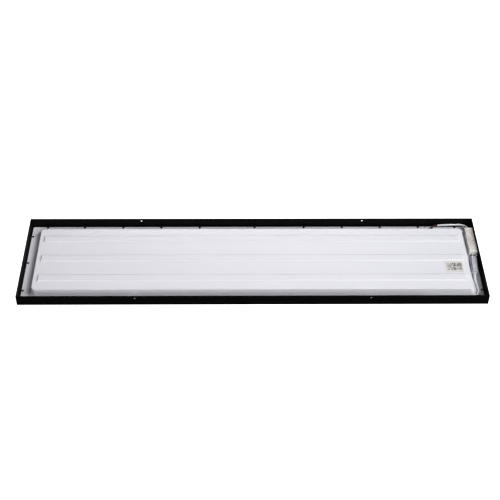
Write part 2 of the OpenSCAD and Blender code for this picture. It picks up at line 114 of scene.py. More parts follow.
def new_material(name, colour, roughness, metallic=0.0, **sockets):
    """A principled material. Further sockets are given by name with _ for a space."""
    mat = bpy.data.materials.new(name)
    mat.use_nodes = True
    shader = shader_of(mat)
    shader.inputs["Base Color"].default_value = (*colour, 1)
    shader.inputs["Roughness"].default_value = roughness
    shader.inputs["Metallic"].default_value = metallic
    for key, value in sockets.items():
        shader.inputs[key.replace("_", " ")].default_value = value
    return mat


def node(mat, kind, **inputs):
    """A new node, with its inputs set by name: a socket is linked, and a value is written."""
    made = mat.node_tree.nodes.new(kind)
    for key, value in inputs.items():
        put(mat, made.inputs[key.replace("_", " ")], value)
    return made


def put(mat, socket, value):
    """Links a socket to the given one, or writes a plain value into it."""
    if isinstance(value, bpy.types.NodeSocket):
        mat.node_tree.links.new(value, socket)
    else:
        socket.default_value = value


def shader_of(mat):
    """The material's principled shader node."""
    return mat.node_tree.nodes["Principled BSDF"]


def maths(mat, operation, *values):
    """The result of a maths node on up to three values or sockets."""
    made = mat.node_tree.nodes.new("ShaderNodeMath")
    made.operation = operation
    for socket, value in zip(made.inputs, values):
        put(mat, socket, value)
    return made.outputs[0]


def place_on(mat, stretch):
    """Coordinates in metres in the shared frame, multiplied along each axis."""
    where = node(mat, "ShaderNodeTexCoord").outputs["Object"]
    return node(mat, "ShaderNodeMapping", Vector=where, Scale=stretch).outputs["Vector"]


def noise(mat, scale, detail, stretch=(1, 1, 1)):
    """Noise from 0 to 1 with about the given number of waves in a metre."""
    made = node(mat, "ShaderNodeTexNoise", Vector=place_on(mat, stretch), Scale=scale, Detail=detail)
    return made.outputs["Fac"]


# The span that noise mostly stays in
NOISE_LOW = 0.3
NOISE_HIGH = 0.7


def spread(mat, value, low, high):
    """Noise brought from its usual span to low..high, and kept inside that."""
    spans = {"From_Min": NOISE_LOW, "From_Max": NOISE_HIGH, "To_Min": low, "To_Max": high}
    return node(mat, "ShaderNodeMapRange", Value=value, **spans).outputs["Result"]


def blend(mat, factor, first, second):
    """A colour between two colours or sockets."""
    made = mat.node_tree.nodes.new("ShaderNodeMix")
    made.data_type = "RGBA"
    colours = [s for s in made.inputs if s.type == "RGBA"]
    put(mat, made.inputs["Factor"], factor)
    for socket, value in zip(colours, (first, second)):
        put(mat, socket, value if isinstance(value, bpy.types.NodeSocket) else (*value, 1))
    return [s for s in made.outputs if s.type == "RGBA"][0]


def shade(colour, by):
    """A colour made lighter or darker by a factor."""
    return tuple(min(1.0, c * by) for c in colour)


def vary(mat, scale, amount, stretch=(1, 1, 1)):
    """Makes the base colour wander by a small share, darker and lighter, over the given scale."""
    socket = shader_of(mat).inputs["Base Color"]
    base = tuple(socket.default_value)[:3]
    drift = spread(mat, noise(mat, scale, detail=4, stretch=stretch), 0, 1)
    put(mat, socket, blend(mat, drift, shade(base, 1 - amount), shade(base, 1 + amount)))


def roughen(mat, scale, low, high, stretch=(1, 1, 1)):
    """Makes the roughness wander between two values over the given scale."""
    drift = spread(mat, noise(mat, scale, detail=5, stretch=stretch), low, high)
    put(mat, shader_of(mat).inputs["Roughness"], drift)


def bump(mat, height, depth, strength, normal=None):
    """Adds a bump of the given depth in metres, on top of an earlier one whose normal is given."""
    made = node(mat, "ShaderNodeBump", Height=height, Distance=depth, Strength=strength)
    if normal is not None:
        put(mat, made.inputs["Normal"], normal)
    put(mat, shader_of(mat).inputs["Normal"], made.outputs["Normal"])
    return made.outputs["Normal"]


def powder_black():
    """Satin black powder coat: orange peel in two sizes and a slightly uneven gloss."""
    mat = new_material("powder_black", (0.0022, 0.0022, 0.0025), 0.42, Specular_IOR_Level=0.3)
    vary(mat, scale=9, amount=0.18)
    roughen(mat, scale=14, low=0.5, high=0.62)
    peel = bump(mat, noise(mat, scale=130, detail=2), depth=0.00012, strength=0.5)
    bump(mat, noise(mat, scale=1100, detail=2), depth=0.00003, strength=0.55, normal=peel)
    return mat


def painted_sheet():
    """Satin white paint on pressed steel: faint mottle, orange peel and broad unevenness of the sheet."""
    mat = new_material("painted_sheet", (0.69, 0.69, 0.73), 0.32, Specular_IOR_Level=0.5)
    vary(mat, scale=5, amount=0.006)
    roughen(mat, scale=40, low=0.285, high=0.3)
    broad = bump(mat, noise(mat, scale=9, detail=1, stretch=(0.5, 1, 1)), depth=0.0002, strength=0.2)
    bump(mat, noise(mat, scale=900, detail=2), depth=0.00002, strength=0.5, normal=broad)
    return mat


def opal_sheet():
    """Milky diffuser: a soft glow under the skin and a very fine matt grain."""
    mat = new_material(
        "opal_sheet", (0.86, 0.87, 0.88), 0.45,
        Subsurface_Weight=0.6, Subsurface_Scale=0.004, Specular_IOR_Level=0.45,
    )
    vary(mat, scale=3, amount=0.012)
    roughen(mat, scale=6, low=0.4, high=0.52)
    bump(mat, noise(mat, scale=2600, detail=1), depth=0.00002, strength=0.6)
    return mat


def soft_plastic(name, colour, roughness, mottle, grain=700, depth=0.00003, **sockets):
    """Moulded plastic or a cable sheath, with a fine grain of the given scale and depth."""
    mat = new_material(name, colour, roughness, **sockets)
    vary(mat, scale=60, amount=mottle)
    roughen(mat, scale=90, low=0.85 * roughness, high=1.2 * roughness)
    bump(mat, noise(mat, scale=grain, detail=2), depth, strength=0.5)
    return mat


def bright_metal(name, colour, roughness, stretch=(1, 1, 1)):
    """Turned, drawn or milled metal. Its marks run along an axis whose stretch is below one."""
    mat = new_material(name, colour, roughness, metallic=1.0)
    vary(mat, scale=150, amount=0.08, stretch=stretch)
    roughen(mat, scale=260, low=0.7 * roughness, high=1.4 * roughness, stretch=stretch)
    bump(mat, noise(mat, scale=900, detail=2, stretch=stretch), depth=0.00001, strength=0.5)
    return mat


def smoked_plastic():
    """Translucent grey polycarbonate."""
    return soft_plastic(
        "smoked_plastic", (0.84, 0.84, 0.92), 0.14, mottle=0.06,
        Transmission_Weight=0.55, IOR=1.5,
    )


def inside(mat, value, low, high):
    """1 where the value lies between two limits, and 0 elsewhere."""
    return maths(mat, "COMPARE", value, (low + high) / 2, (high - low) / 2)


def vector(mat, *values):
    """A vector of up to three values or sockets."""
    made = mat.node_tree.nodes.new("ShaderNodeCombineXYZ")
    for socket, value in zip(made.inputs, values):
        put(mat, socket, value)
    return made.outputs["Vector"]


def lot(mat, *seeds):
    """A random value from 0 to 1 that depends only on the seeds."""
    return node(mat, "ShaderNodeTexWhiteNoise", Vector=vector(mat, *seeds)).outputs["Value"]


# Seeds of the rows and of the bars in a row, and the longest shift of a row in bars
ROW_SEED = 3.7
BAR_SEED = 1.3
ROW_SHIFT = 7.0
# The part of a row's pitch, and of a bar's length, that is inked
INKED_PITCH = (0.1, 0.9)
INKED_LENGTH = (0.08, 0.92)
PAPER_MOTTLE = 0.03


def bars(mat, run, across, pitch, length, gap):
    """Rows of short bars with gaps at random: 1 on a bar, and 0 elsewhere."""
    row = maths(mat, "DIVIDE", across, pitch)
    number = maths(mat, "FLOOR", row)
    shift = maths(mat, "MULTIPLY", lot(mat, number, ROW_SEED, 0.0), ROW_SHIFT)
    cell = maths(mat, "ADD", maths(mat, "DIVIDE", run, length), shift)
    chosen = maths(mat, "GREATER_THAN", lot(mat, maths(mat, "FLOOR", cell), number, BAR_SEED), gap)
    in_row = inside(mat, maths(mat, "FRACT", row), *INKED_PITCH)
    in_bar = inside(mat, maths(mat, "FRACT", cell), *INKED_LENGTH)
    return maths(mat, "MULTIPLY", maths(mat, "MULTIPLY", in_row, in_bar), chosen)


def printed(name, paper, ink, corner, zones):
    """Paper or film with zones of short bars, which stand for print and say nothing.

    Each zone is (x from, x to, y from, y to, row pitch, bar length, share left out, strength),
    measured in millimetres from the corner; the rows run along x."""
    mat = new_material(name, paper, 0.45, Specular_IOR_Level=0.35)
    where = node(mat, "ShaderNodeTexCoord").outputs["Object"]
    parts = node(mat, "ShaderNodeSeparateXYZ", Vector=where)
    x = maths(mat, "SUBTRACT", parts.outputs["X"], corner.x)
    y = maths(mat, "SUBTRACT", parts.outputs["Y"], corner.y)
    total = 0.0
    for x_from, x_to, y_from, y_to, pitch, length, gap, strength in zones:
        in_x = inside(mat, x, x_from * MM, x_to * MM)
        in_y = inside(mat, y, y_from * MM, y_to * MM)
        here = maths(mat, "MULTIPLY", in_x, in_y)
        marks = maths(mat, "MULTIPLY", bars(mat, x, y, pitch * MM, length * MM, gap), strength)
        total = maths(mat, "ADD", maths(mat, "MULTIPLY", here, marks), total)
    drift = spread(mat, noise(mat, scale=45, detail=3), 0, 1)
    mottled = blend(mat, drift, shade(paper, 1 - PAPER_MOTTLE), shade(paper, 1 + PAPER_MOTTLE))
    put(mat, shader_of(mat).inputs["Base Color"], blend(mat, total, mottled, ink))
    roughen(mat, scale=120, low=0.38, high=0.55)
    bump(mat, noise(mat, scale=500, detail=2), depth=0.00002, strength=0.5)
    return mat


# ---------------------------------------------------------------------------- mesh tools

# Angles in degrees above which an edge stays sharp: on most pieces, on boxes and on the tray
SHARP = 30.0
BOX_SHARP = 40.0
TRAY_SHARP = 50.0


def new_piece(name, verts, faces, mat, slot, replaces, sharp=SHARP):
    """A mesh piece that rides on the panel, smooth except at edges sharper than the angle in degrees."""
    mesh = bpy.data.meshes.new(name)
    mesh.from_pydata([tuple(v) for v in verts], [], [tuple(f) for f in faces])
    mesh.validate()
    mesh.materials.append(mat)
    piece = bpy.data.objects.new(name, mesh)
    bpy.context.scene.collection.objects.link(piece)
    smooth(piece, sharp)
    return adopt(piece, slot, replaces)


def smooth(piece, sharp=SHARP):
    """Shades a piece smooth, except at edges sharper than the angle in degrees."""
    piece.data.polygons.foreach_set("use_smooth", [True] * len(piece.data.polygons))
    piece.data.set_sharp_from_angle(angle=math.radians(sharp))


def adopt(piece, slot, replaces):
    """Makes a piece ride on the panel and hides the CAD nodes that it replaces. Its slot is not used."""
    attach(piece, BODY)
    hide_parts(*replaces)
    return piece


def freeze(piece):
    """Makes the modifiers' result the piece's own mesh."""
    shown = piece.evaluated_get(bpy.context.evaluated_depsgraph_get())
    made = bpy.data.meshes.new_from_object(shown)
    made.materials.clear()
    for mat in piece.data.materials:
        made.materials.append(mat)
    piece.modifiers.clear()
    piece.data = made


def cut(piece, cutters):
    """Cuts the cutters' meshes out of the piece and removes them."""
    for cutter in cutters:
        step = piece.modifiers.new("cut", "BOOLEAN")
        step.operation = "DIFFERENCE"
        step.solver = "EXACT"
        step.object = cutter
    freeze(piece)
    for cutter in cutters:
        bpy.data.objects.remove(cutter)


def rod(name, start, end, radius, sides=32):
    """A closed cylinder between two points, to cut with."""
    axis = Vector(end) - Vector(start)
    turn = axis.to_track_quat("Z", "Y").to_matrix().to_4x4()
    made = bmesh.new()
    bmesh.ops.create_cone(
        made, cap_ends=True, segments=sides, radius1=radius, radius2=radius, depth=axis.length,
        matrix=Matrix.Translation((Vector(start) + Vector(end)) / 2) @ turn,
    )
    return from_bmesh(name, made)


def from_bmesh(name, made):
    """An object with the mesh that was made, which is then freed."""
    mesh = bpy.data.meshes.new(name)
    made.to_mesh(mesh)
    made.free()
    piece = bpy.data.objects.new(name, mesh)
    bpy.context.scene.collection.objects.link(piece)
    return piece


def rounded_box(name, low, high, radius, mat, steps=4, **facts):
    """A box between two corners with all its edges rounded."""
    made = bmesh.new()
    size = Matrix.Diagonal((*(high - low), 1))
    bmesh.ops.create_cube(made, size=1, matrix=Matrix.Translation((low + high) / 2) @ size)
    bmesh.ops.bevel(
        made, geom=made.edges[:], offset=radius, offset_type="OFFSET", segments=steps, profile=0.5,
        affect="EDGES", clamp_overlap=True,
    )
    piece = from_bmesh(name, made)
    piece.data.materials.append(mat)
    smooth(piece, BOX_SHARP)
    return adopt(piece, **facts)


def lathe(name, profile, start, axis, mat, sides=32, **facts):
    """A solid of revolution: profile lists (distance along the axis, radius) from start."""
    turn = Vector(axis).to_track_quat("Z", "Y").to_matrix()
    verts = []
    faces = []
    for along, radius in profile:
        for k in range(sides):
            angle = 2 * math.pi * k / sides
            spoke = Vector((radius * math.cos(angle), radius * math.sin(angle), along))
            verts.append(Vector(start) + turn @ spoke)
    for ring in range(len(profile) - 1):
        for k in range(sides):
            a = ring * sides + k
            b = ring * sides + (k + 1) % sides
            faces.append((a, b, b + sides, a + sides))
    faces.append(tuple(reversed(range(sides))))
    faces.append(tuple(range(len(verts) - sides, len(verts))))
    return new_piece(name, verts, faces, mat, **facts)


def grooved_profile(start, groove, places, end, length, radius):
    """A lathe profile from shares of its length and radius: a start, a groove at each place, an end."""
    shares = [*start]
    for place in places:
        shares += [(place + along, across) for along, across in groove]
    shares += end
    return [(along * length, across * radius) for along, across in shares]


# --------------------------------------------------------------------------------- cords

OUTPUT_D = 0.005
CORE_D = 0.0017
INPUT_D = 0.0024
MAINS_D = 0.006
# The routes repeat those of the CAD source, in metres
OUTPUT_ROUTE = [
    (0.583, 0.119, 0.015), (0.583, 0.121, 0.015), (0.5803, 0.131, 0.0146), (0.573, 0.1383, 0.0133),
    (0.563, 0.141, 0.0123), (0.550, 0.141, 0.012), (0.537, 0.141, 0.012), (0.524, 0.141, 0.0114),
    (0.508, 0.1406, 0.0106), (0.505, 0.1406, 0.0106),
]
RED_ROUTE = [
    (0.505, 0.1416, 0.0108), (0.501, 0.1416, 0.0108), (0.497, 0.1402, 0.0111), (0.493, 0.1378, 0.0112),
    (0.490, 0.135, 0.0104), (0.488, 0.1332, 0.009), (0.487, 0.1324, 0.007), (0.487, 0.1324, 0.005),
]
BLACK_ROUTE = [
    (0.505, 0.1396, 0.0104), (0.501, 0.1396, 0.0104), (0.497, 0.1376, 0.010), (0.493, 0.135, 0.0098),
    (0.490, 0.1327, 0.0092), (0.488, 0.1312, 0.008), (0.487, 0.1306, 0.0066), (0.487, 0.1306, 0.005),
]
LIVE_ROUTE = [
    (0.5865, 0.019, 0.0164), (0.5865, 0.0178, 0.0164), (0.5888, 0.0164, 0.0174), (0.5912, 0.0146, 0.0182),
    (0.591, 0.0124, 0.0176), (0.588, 0.0112, 0.0158), (0.5856, 0.0104, 0.0144), (0.5843, 0.009, 0.0136),
    (0.5842, 0.0077, 0.0136),
]
NEUTRAL_ROUTE = [
    (0.581, 0.019, 0.0164), (0.581, 0.0178, 0.0164), (0.5802, 0.0136, 0.0162), (0.5794, 0.0094, 0.0155),
    (0.5793, 0.0082, 0.0155),
]
MAINS_ROUTE = [
    (0.576, -0.050, 0.0154), (0.5752, -0.058, 0.0153), (0.5749, -0.068, 0.0136), (0.5756, -0.080, 0.0111),
    (0.577, -0.093, 0.0096), (0.578, -0.1075, 0.0093), (0.5748, -0.1195, 0.0091), (0.566, -0.1283, 0.0089),
    (0.554, -0.1315, 0.0088), (0.536, -0.1315, 0.0088), (0.518, -0.1315, 0.0088), (0.500, -0.1315, 0.0088),
    (0.482, -0.1315, 0.0088), (0.464, -0.1315, 0.0088), (0.446, -0.1315, 0.0088), (0.428, -0.1315, 0.0088),
]
BROWN_ROUTE = [
    (0.428, -0.1301, 0.0088), (0.423, -0.1301, 0.0088), (0.413, -0.1295, 0.0076), (0.405, -0.1292, 0.0072),
    (0.401, -0.1292, 0.0072),
]
BLUE_ROUTE = [
    (0.428, -0.1329, 0.0088), (0.423, -0.1329, 0.0088), (0.413, -0.1335, 0.0076), (0.405, -0.1338, 0.0072),
    (0.401, -0.1338, 0.0072),
]
CURVE_STEPS = 6
WIRE_ROUNDNESS = 6


def smooth_line(route):
    """Points on one smooth curve through a route's points."""
    points = [Vector(p) for p in route]
    ends = [2 * points[0] - points[1], *points, 2 * points[-1] - points[-2]]
    line = []
    for i in range(1, len(ends) - 2):
        before, here, there, after = ends[i - 1:i + 3]
        for k in range(CURVE_STEPS):
            t = k / CURVE_STEPS
            line.append(0.5 * (
                2 * here + (there - before) * t
                + (2 * before - 5 * here + 4 * there - after) * t ** 2
                + (3 * here - before - 3 * there + after) * t ** 3
            ))
    return [*line, points[-1]]


def length_of(line):
    """The length of a line through the given points."""
    return sum((b - a).length for a, b in zip(line, line[1:]))


def make_wire(name, route, diameter, mat, slot):
    """A round wire as a curve named after the CAD node that it replaces, and the curve's length."""
    data = bpy.data.curves.new(name, "CURVE")
    data.dimensions = "3D"
    data.bevel_depth = diameter / 2
    data.bevel_resolution = WIRE_ROUNDNESS
    data.use_fill_caps = True
    line = smooth_line(route)
    spline = data.splines.new("POLY")
    spline.points.add(len(line) - 1)
    for point, place in zip(spline.points, line):
        point.co = (*place, 1)
    data.materials.append(mat)
    piece = bpy.data.objects.new(name + "_curve", data)
    bpy.context.scene.collection.objects.link(piece)
    return adopt(piece, slot, [name]), length_of(line)


CABLE_WHITE = soft_plastic(
    "cable_white", (0.74, 0.74, 0.76), 0.36, grain=500, mottle=0.03, depth=0.00005, Coat_Weight=0.15,
)
WIRE_RED = soft_plastic("wire_red", (0.14, 0.01, 0.01), 0.3, grain=900, mottle=0.06)
WIRE_BLACK = soft_plastic("wire_black", (0.012, 0.012, 0.013), 0.3, grain=900, mottle=0.1)
WIRE_BROWN = soft_plastic("wire_brown", (0.16, 0.06, 0.025), 0.32, grain=900, mottle=0.06)
WIRE_BLUE = soft_plastic("wire_blue", (0.03, 0.12, 0.42), 0.32, grain=900, mottle=0.06)
FERRULE_TIN = bright_metal("ferrule_tin", (0.72, 0.72, 0.7), 0.28, stretch=(1, 0.1, 0.1))

# A ferrule's profile, as shares of its length and radius
FERRULE_MOUTH = ((0, 0.9), (0.02, 1), (0.2, 1))
FERRULE_CRIMP = ((0, 1), (0.04, 0.84), (0.1, 0.84), (0.14, 1))
FERRULE_CRIMP_PLACES = (0.3, 0.5, 0.7)
FERRULE_TIP = ((0.97, 1), (1, 0.8))


def make_ferrules():
    """Crimped tips on the mains cores: a sleeve with a rounded mouth and three crimp grooves."""
    low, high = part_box("mains_ferrules")
    length = high.x - low.x
    radius = (high.z - low.z) / 2
    profile = grooved_profile(
        FERRULE_MOUTH, FERRULE_CRIMP, FERRULE_CRIMP_PLACES, FERRULE_TIP, length, radius,
    )
    made = []
    for core, route in (("brown", BROWN_ROUTE), ("blue", BLUE_ROUTE)):
        piece = lathe(
            f"ferrule_{core}", profile, route[-1], (-1, 0, 0), FERRULE_TIN, sides=24,
            slot="steel_zinc", replaces=["mains_ferrules"],
        )
        made.append(piece)
    return made


def make_cords():
    """The free cables, each with what is on it."""
    red, _ = make_wire("output_core_red", RED_ROUTE, CORE_D, WIRE_RED, "wire_red")
    black, _ = make_wire("output_core_black", BLACK_ROUTE, CORE_D, WIRE_BLACK, "wire_black")
    output, output_length = make_wire("output_lead", OUTPUT_ROUTE, OUTPUT_D, CABLE_WHITE, "cable_white")
    brown, _ = make_wire("mains_core_brown", BROWN_ROUTE, INPUT_D, WIRE_BROWN, "wire_brown")
    blue, _ = make_wire("mains_core_blue", BLUE_ROUTE, INPUT_D, WIRE_BLUE, "wire_blue")
    mains, mains_length = make_wire("mains_lead", MAINS_ROUTE, MAINS_D, CABLE_WHITE, "cable_white")
    make_ferrules()
    make_wire("input_wire_live", LIVE_ROUTE, INPUT_D, CABLE_WHITE, "cable_white")
    make_wire("input_wire_neutral", NEUTRAL_ROUTE, INPUT_D, CABLE_WHITE, "cable_white")


make_cords()

# ---------------------------------------------------------------------------- back tray

# Insets are measured from the panel's outer edge, and heights from its face
TRAY_LOW, TRAY_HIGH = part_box("back_tray")
SHEET_T = 0.6 * MM
TRAY_EDGE = HALF_L - TRAY_HIGH.x
RIB_H = 2.4 * MM
FLANGE_Z = TRAY_LOW.z + SHEET_T
PLATEAU_Z = TRAY_HIGH.z - RIB_H
COVE_START = 16 * MM
COVE_R = 17 * MM
COVE_Z = FLANGE_Z + COVE_R
EDGE_R = 1.1 * MM
PLATEAU_CORNER_R = 11 * MM
CORNER_INSET = COVE_START + COVE_R + PLATEAU_CORNER_R
GRID_X = HALF_L - CORNER_INSET
GRID_Y = HALF_W - CORNER_INSET
RIB_CENTRES = (-73.5 * MM, 0.0, 73.5 * MM)
RIB_TOP_HALF = 8.7 * MM
RIB_SLOPE = 4.4 * MM
RIB_HALF_L = 551 * MM
RIB_END_SLOPE = 1.6 * MM
# The tray's rings: the corner radius at its edge, the width of the first ring, the inset and
# the corner radius of the flange's other rings, and the insets of those on the plateau
TRAY_CORNER_R = 4 * MM
TRAY_EDGE_STEP = 0.5 * MM
FLANGE_RINGS = ((9 * MM, 10 * MM), (12 * MM, 18 * MM), (14 * MM, 23 * MM))
PLATEAU_INSETS = (36 * MM, 38 * MM, 40 * MM, 42 * MM, 43.4 * MM)
CORNER_STEPS = 12
COVE_STEPS = 18
EDGE_STEPS = 6
# Grid steps on the plateau. The fine ones lie in a band across the ribs' ends, and up to
# SLOPE_BAND to both sides of the middle of a rib's slope
COARSE_X = 9 * MM
COARSE_Y = 4.5 * MM
FINE_X = 0.5 * MM
FINE_Y = 0.45 * MM
END_BAND = (RIB_HALF_L - 0.5 * MM, RIB_HALF_L + 2.5 * MM)
SLOPE_BAND = 2.5 * MM
# Grid lines are rounded to a thousandth of a millimetre. A line this close to the limit
# outlasts a span of fine lines, and one this far past the limit is left out
LINE_DIGITS = 6
NEAR_LIMIT = 1e-6
PAST_LIMIT = 1e-9
# Unevenness of the sheet: its height, how far from the plateau's edges it fades in, and its
# two waves, which turn by so many radians a metre along x and y
WAVE_H = 0.12 * MM
WAVE_FADE_X = 60 * MM
WAVE_FADE_Y = 20 * MM
LONG_WAVE = (7.1, 23)
LONG_WAVE_START = (0.6, 1.1)
SHORT_WAVE = (17.3, 31)
SHORT_WAVE_SHARE = 0.5
# Holes through the flange
ENTRY_R = 3.1 * MM
SPARE_HOLE_R = 1.5 * MM
SPARE_HOLE_X = (-0.473, -0.011, 0.470)
DRILL_REACH = 2 * MM


def s_curve(t):
    """A smooth step from 0 to 1 as t goes from 0 to 1."""
    t = min(1.0, max(0.0, t))
    return t * t * (3 - 2 * t)


def rib_height(x, y):
    """Height of the pressed ribs above the plateau."""
    along = 1 - s_curve((abs(x) - RIB_HALF_L) / RIB_END_SLOPE)
    across = max(1 - s_curve((abs(y - centre) - RIB_TOP_HALF) / RIB_SLOPE) for centre in RIB_CENTRES)
    return RIB_H * along * across


def sheet_wave(x, y):
    """Very slight unevenness of the pressed sheet between its stiff edges."""
    fade = s_curve((GRID_X - abs(x)) / WAVE_FADE_X) * s_curve((GRID_Y - abs(y)) / WAVE_FADE_Y)
    along = math.sin(LONG_WAVE[0] * x + LONG_WAVE_START[0])
    across = math.cos(LONG_WAVE[1] * y + LONG_WAVE_START[1])
    short = SHORT_WAVE_SHARE * math.sin(SHORT_WAVE[0] * x + SHORT_WAVE[1] * y)
    return WAVE_H * fade * (along * across + short)


def graded(limit, coarse, fine, spans):
    """Grid lines from -limit to limit: coarse steps, and fine ones inside the given spans."""
    count = round(2 * limit / coarse)
    lines = {round(-limit + 2 * limit * i / count, LINE_DIGITS) for i in range(count + 1)}
    for low, high in spans:
        lines = {v for v in lines if not low - fine < v < high + fine or abs(abs(v) - limit) < NEAR_LIMIT}
        steps = round((high - low) / fine)
        lines |= {round(low + (high - low) * i / steps, LINE_DIGITS) for i in range(steps + 1)}
    return sorted(v for v in lines if abs(v) <= limit + PAST_LIMIT)


def tray_profile():
    """The tray's section from its edge inwards, as (inset, height, corner radius).

    From the cove inwards the corners share one centre, so there the radius follows from the inset."""
    rings = [
        (TRAY_EDGE, FLANGE_Z, TRAY_CORNER_R),
        (TRAY_EDGE + TRAY_EDGE_STEP, FLANGE_Z, TRAY_CORNER_R + TRAY_EDGE_STEP),
    ]
    rings += [(inset, FLANGE_Z, radius) for inset, radius in FLANGE_RINGS]
    edge_centre_z = PLATEAU_Z - EDGE_R
    edge_inset = COVE_START + math.sqrt((COVE_R + EDGE_R) ** 2 - (COVE_Z - edge_centre_z) ** 2)
    last = math.atan2(edge_inset - COVE_START, COVE_Z - edge_centre_z)
    for i in range(COVE_STEPS + 1):
        angle = last * i / COVE_STEPS
        rings.append((COVE_START + COVE_R * math.sin(angle), COVE_Z - COVE_R * math.cos(angle), None))
    for i in range(1, EDGE_STEPS + 1):
        angle = last * (1 - i / EDGE_STEPS)
        inset = edge_inset - EDGE_R * math.sin(angle)
        rings.append((inset, edge_centre_z + EDGE_R * math.cos(angle), None))
    rings += [(inset, PLATEAU_Z, None) for inset in PLATEAU_INSETS]
    return [(d, z, CORNER_INSET - d if r is None else r) for d, z, r in rings]


def ring_of(inset, z, radius, xs, ys):
    """One closed ring round the tray, anticlockwise, with its corners as arcs."""
    reach_x = HALF_L - inset - radius
    reach_y = HALF_W - inset - radius
    scale_x = reach_x / GRID_X
    scale_y = reach_y / GRID_Y
    corners = (
        (reach_x, -reach_y, -90),
        (reach_x, reach_y, 0),
        (-reach_x, reach_y, 90),
        (-reach_x, -reach_y, 180),
    )
    sides = (
        [(x * scale_x, -reach_y - radius) for x in xs],
        [(reach_x + radius, y * scale_y) for y in ys],
        [(x * scale_x, reach_y + radius) for x in reversed(xs)],
        [(-reach_x - radius, y * scale_y) for y in reversed(ys)],
    )
    points = []
    for side, (cx, cy, start) in zip(sides, corners):
        points += side
        for k in range(1, CORNER_STEPS):
            angle = math.radians(start + 90 * k / CORNER_STEPS)
            points.append((cx + radius * math.cos(angle), cy + radius * math.sin(angle)))
    return [Vector((x, y, z)) for x, y in points]


def tray_holes():
    """Cutters for the cable entry and the spare holes in the flange."""
    entry_low, entry_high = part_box("tray_grommet")
    entry = (entry_low + entry_high) / 2
    below = TRAY_LOW.z - DRILL_REACH
    above = FLANGE_Z + DRILL_REACH
    cutters = [rod("entry", (entry.x, entry.y, below), (entry.x, entry.y, above), ENTRY_R)]
    screw_low, screw_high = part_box("tray_screws_far")
    line_y = (screw_low.y + screw_high.y) / 2
    for x in SPARE_HOLE_X:
        for y in (-line_y, line_y):
            cutters.append(rod("spare", (x, y, below), (x, y, above), SPARE_HOLE_R, sides=20))
    return cutters


def make_tray(mat):
    """The pressed sheet: rings from the flange up the cove, then a grid with the three ribs."""
    xs = graded(GRID_X, COARSE_X, FINE_X, [(-END_BAND[1], -END_BAND[0]), END_BAND])
    slope_middle = RIB_TOP_HALF + RIB_SLOPE / 2
    slopes = [centre + side * slope_middle for centre in RIB_CENTRES for side in (-1, 1)]
    ys = graded(GRID_Y, COARSE_Y, FINE_Y, [(y - SLOPE_BAND, y + SLOPE_BAND) for y in slopes])
    profile = tray_profile()
    verts = []
    faces = []
    for inset, z, radius in profile:
        verts += ring_of(inset, z, radius, xs, ys)
    count = len(verts) // len(profile)
    for ring in range(len(profile) - 1):
        for k in range(count):
            a = ring * count + k
            b = ring * count + (k + 1) % count
            faces.append((a, b, b + count, a + count))
    grid = len(verts)
    verts += [Vector((x, y, PLATEAU_Z + rib_height(x, y) + sheet_wave(x, y))) for x in xs for y in ys]
    rows = len(ys)
    for i in range(len(xs) - 1):
        for j in range(rows - 1):
            a = grid + i * rows + j
            faces.append((a, a + rows, a + rows + 1, a + 1))
    faces += stitch_faces(grid, len(xs), rows, (len(profile) - 1) * count, count)
    piece = new_piece("tray_sheet", verts, faces, mat, "tray_white", ["back_tray"], TRAY_SHARP)
    thick = piece.modifiers.new("thick", "SOLIDIFY")
    thick.thickness = SHEET_T
    thick.offset = -1
    freeze(piece)
    cut(piece, tray_holes())
    smooth(piece, TRAY_SHARP)


def stitch_faces(grid, columns, rows, last, count):
    """Faces between the innermost ring and the edge of the grid.

    grid and last are the numbers of the grid's and the ring's first points."""
    near = [grid + i * rows for i in range(columns)]
    right = [grid + (columns - 1) * rows + j for j in range(rows)]
    far = [grid + i * rows + rows - 1 for i in reversed(range(columns))]
    left = [grid + j for j in reversed(range(rows))]
    faces = []
    place = last
    for side in (near, right, far, left):
        for k in range(len(side) - 1):
            faces.append((place + k, place + k + 1, side[k + 1], side[k]))
        place += len(side) - 1
        for k in range(CORNER_STEPS):
            faces.append((place + k, last + (place + k + 1 - last) % count, side[-1]))
        place += CORNER_STEPS
    return faces


TRAY_WHITE = painted_sheet()
make_tray(TRAY_WHITE)

# --------------------------------------------------------------------------------- frame

# The rail's section: its wall, its front lip and the ledge that the tray lies on
WALL_T = 2.2 * MM
LIP_W = 11 * MM
LIP_T = 1.2 * MM
LEDGE_W = 12.5 * MM
LEDGE_LOW = 3.8 * MM
LEDGE_TOP = TRAY_LOW.z
MITRE_GAP = 0.04 * MM
SIDE_HOLE_R = 2.5 * MM
ROUND_STEPS = 4


def rail_section():
    """The rail's section as points (inset, height), with slightly rounded corners."""
    # Each corner as (inset, height, rounding in millimetres)
    corners = [
        (0, 0, 0.5), (LIP_W, 0, 0.3), (LIP_W, LIP_T, 0.2), (WALL_T, LIP_T, 0.2), (WALL_T, LEDGE_LOW, 0.2),
        (LEDGE_W, LEDGE_LOW, 0.2), (LEDGE_W, LEDGE_TOP, 0.2), (WALL_T, LEDGE_TOP, 0.4),
        (WALL_T, FRAME_H, 0.45), (0, FRAME_H, 0.6),
    ]
    points = []
    for i, (d, z, radius) in enumerate(corners):
        here = Vector((d, z))
        before = Vector(corners[i - 1][:2]) - here
        after = Vector(corners[(i + 1) % len(corners)][:2]) - here
        start = here + before.normalized() * radius * MM
        end = here + after.normalized() * radius * MM
        for k in range(ROUND_STEPS + 1):
            t = k / ROUND_STEPS
            points.append((1 - t) ** 2 * start + 2 * t * (1 - t) * here + t ** 2 * end)
    return points


